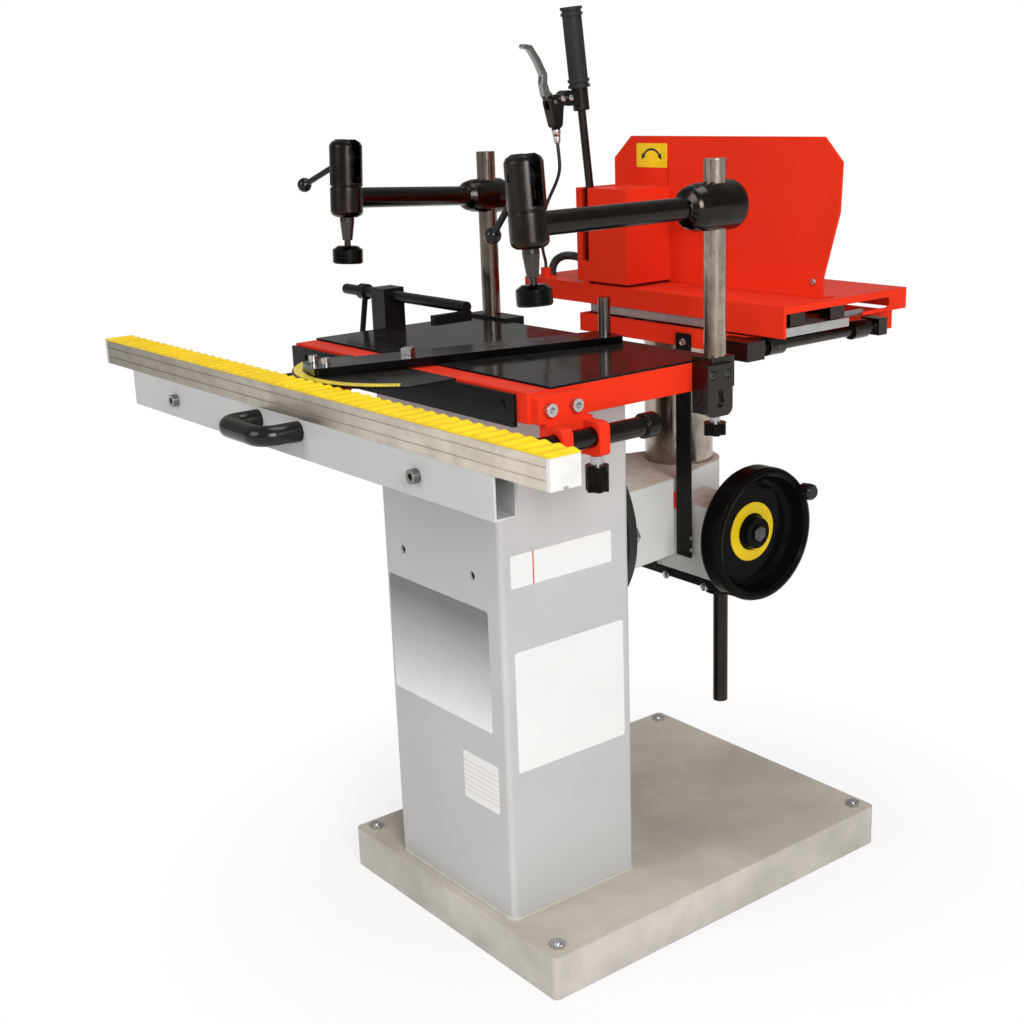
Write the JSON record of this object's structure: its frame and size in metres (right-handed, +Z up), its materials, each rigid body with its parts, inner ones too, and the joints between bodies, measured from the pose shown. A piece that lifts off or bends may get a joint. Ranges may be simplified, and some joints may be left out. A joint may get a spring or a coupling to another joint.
{
  "type": "horizontal slot mortiser",
  "caption": "Floor-standing horizontal slot mortiser: column stand, table with swivel fence and swing-arm clamps, pull-out work rail, screw lift and a lever-moved cross slide with the spindle.",
  "frame": {"origin": "centre of the base pan's underside, on the floor", "axes": "+X along the work rail to the operator's right, +Y away from the operator, +Z up"},
  "size_m": [1.062, 0.957, 1.2954],
  "materials": {
    "grey_paint": "smooth light grey paint",
    "red_paint": "glossy red paint",
    "black_paint": "satin black paint",
    "steel": "machined",
    "dark_steel": "blackened",
    "aluminium": "extruded, satin",
    "cap_plastic": "moulded",
    "yellow_plastic": "moulded",
    "brass": "etched",
    "black_plastic": "glossy moulded",
    "rubber": "matt",
    "motor_paint": "satin"
  },
  "bodies": {
    "frame": {"base_pan": "grey_paint", "anchor_bolts": "steel", "column": "grey_paint", "table_body": "red_paint", "table_sheet": "black_paint", "front_apron": "black_paint", "angle_scale": "brass", "rod_brackets": "red_paint", "bracket_bolts": "steel", "stop_post": "black_paint", "post_bracket_right": "dark_steel", "post_bracket_left": "black_paint", "clamp_posts": "steel", "arm_casting": "grey_paint", "gear_cover": "grey_paint", "flange_bolts": "steel", "height_pointer": "red_paint"},
    "extension": {"rail_profile": "aluminium", "rail_end_caps": "cap_plastic", "ribbed_strip": "yellow_plastic", "rail_tube": "grey_paint", "bow_handle": "black_plastic", "guide_rods": "black_paint", "tube_bolts": "steel"},
    "lock_right": {"rod_lock_right": "black_plastic"},
    "lock_left": {"rod_lock_left": "black_plastic"},
    "fence": {"fence_bar": "black_paint", "fence_bolts": "steel"},
    "stop": {"flip_stop": "black_paint"},
    "knob": {"star_knob": "black_plastic"},
    "clamp_right": {"clamp_arm_right": "black_paint"},
    "cam_right": {"cam_lever_right": "black_plastic"},
    "ram_right": {"plunger_right": "steel"},
    "clamp_left": {"clamp_arm_left": "black_paint"},
    "cam_left": {"cam_lever_left": "black_plastic"},
    "ram_left": {"plunger_left": "steel"},
    "lift": {"quill": "dark_steel", "nut_plate": "black_paint", "saddle": "red_paint", "depth_rods": "steel", "depth_stop_rod": "dark_steel", "height_scale": "black_paint"},
    "screw": {"lift_screw": "steel"},
    "wheel": {"handwheel": "black_plastic", "wheel_ring": "yellow_plastic"},
    "crank": {"crank_knob": "black_plastic"},
    "collar_front": {"stop_collar_front": "dark_steel"},
    "collar_rear": {"stop_collar_rear": "dark_steel"},
    "carriage": {"carriage": "steel"},
    "head": {"tray": "red_paint", "side_rods": "steel", "guard_panel": "red_paint", "lever_box": "red_paint", "motor": "motor_paint", "brake_cable": "rubber", "conduit": "rubber"},
    "spindle": {"chuck": "steel"},
    "lever": {"control_lever": "black_paint", "rubber_grip": "rubber"},
    "blade": {"brake_blade": "steel"}
  },
  "joints": [
    {"name": "extension_slide", "type": "slide", "parent": "frame", "child": "extension", "axis": [0, 1, 0], "range_m": [-0.054, 0]},
    {"name": "lock_right_turn", "type": "hinge", "parent": "frame", "child": "lock_right", "pos_m": [0.298, -0.279, 0.73], "axis": [0, 0, 1], "continuous": true},
    {"name": "lock_left_turn", "type": "hinge", "parent": "frame", "child": "lock_left", "pos_m": [-0.298, -0.279, 0.73], "axis": [0, 0, 1], "continuous": true},
    {"name": "fence_swing", "type": "hinge", "parent": "frame", "child": "fence", "pos_m": [0, -0.345, 0.85], "axis": [0, 0, 1], "range_deg": [-30.5, 59.5]},
    {"name": "stop_flip", "type": "hinge", "parent": "frame", "child": "stop", "pos_m": [0, -0.186, 0.89], "axis": [1, 0, 0], "range_deg": [-90, 0]},
    {"name": "knob_turn", "type": "hinge", "parent": "frame", "child": "knob", "pos_m": [0.292, -0.073, 0.757], "axis": [0, 0, 1], "continuous": true},
    {"name": "clamp_right_swing", "type": "hinge", "parent": "frame", "child": "clamp_right", "pos_m": [0.292, -0.073, 1.037], "axis": [0, 0, 1], "range_deg": [-40, 20]},
    {"name": "cam_right_turn", "type": "hinge", "parent": "clamp_right", "child": "cam_right", "pos_m": [0.28783, -0.367, 1.08883], "axis": [0, -1, 0], "range_deg": [-90.5, 0.5]},
    {"name": "ram_right_slide", "type": "slide", "parent": "clamp_right", "child": "ram_right", "axis": [-0.0802, 0, 0.9968], "range_m": [0, 0.004]},
    {"name": "clamp_left_swing", "type": "hinge", "parent": "frame", "child": "clamp_left", "pos_m": [-0.236, -0.03, 1.029], "axis": [0, 0, 1], "range_deg": [-34, 28]},
    {"name": "cam_left_turn", "type": "hinge", "parent": "clamp_left", "child": "cam_left", "pos_m": [-0.17468, -0.3136, 1.09936], "axis": [0.2109, -0.9755, 0.0628], "range_deg": [-71.6, 19.4]},
    {"name": "ram_left_slide", "type": "slide", "parent": "clamp_left", "child": "ram_left", "axis": [-0.0133, 0.0614, 0.998], "range_m": [-0.00084, 0.00316]},
    {"name": "lift_slide", "type": "slide", "parent": "frame", "child": "lift", "axis": [0, 0, 1], "range_m": [-0.14, 0]},
    {"name": "screw_turn", "type": "hinge", "parent": "frame", "child": "screw", "pos_m": [0.143, 0.09, 0.4], "axis": [0, 0, 1], "continuous": true},
    {"name": "wheel_turn", "type": "hinge", "parent": "frame", "child": "wheel", "pos_m": [0.21, 0.09, 0.563], "axis": [1, 0, 0], "continuous": true},
    {"name": "crank_turn", "type": "hinge", "parent": "wheel", "child": "crank", "pos_m": [0.235, 0.16281, 0.6159], "axis": [1, 0, 0], "continuous": true},
    {"name": "collar_front_slide", "type": "slide", "parent": "lift", "child": "collar_front", "axis": [0, 1, 0], "range_m": [-0.015, 0.002]},
    {"name": "collar_rear_slide", "type": "slide", "parent": "lift", "child": "collar_rear", "axis": [0, 1, 0], "range_m": [-0.015, 0.014]},
    {"name": "depth_slide", "type": "slide", "parent": "lift", "child": "carriage", "axis": [0, 1, 0], "range_m": [-0.055, 0.05]},
    {"name": "side_slide", "type": "slide", "parent": "carriage", "child": "head", "axis": [1, 0, 0], "range_m": [-0.07, 0.16]},
    {"name": "spindle_turn", "type": "hinge", "parent": "head", "child": "spindle", "pos_m": [0.0725, 0.12, 1.012], "axis": [0, 1, 0], "continuous": true},
    {"name": "lever_tilt", "type": "hinge", "parent": "head", "child": "lever", "pos_m": [-0.098, 0.072, 0.916], "axis": [1, 0, 0], "range_deg": [-19.4, 21.4], "deforming": ["brake_cable"]},
    {"name": "blade_pull", "type": "hinge", "parent": "lever", "child": "blade", "pos_m": [-0.098, -0.01009, 1.16339], "axis": [1, 0, 0], "range_deg": [-20, 0], "stiffness_Nm_per_rad": 0.6, "springref_deg": 8.59}
  ],
  "couplings": [
    {"joint": "cam_right_turn", "follows": "ram_right_slide", "rad_per_m": -392.7},
    {"joint": "cam_left_turn", "follows": "ram_left_slide", "rad_per_m": -392.7},
    {"joint": "screw_turn", "follows": "lift_slide", "rad_per_m": -628.32},
    {"joint": "wheel_turn", "follows": "lift_slide", "rad_per_m": -628.32},
    {"joint": "lever_tilt", "follows": "depth_slide", "rad_per_m": -6.7}
  ]
}
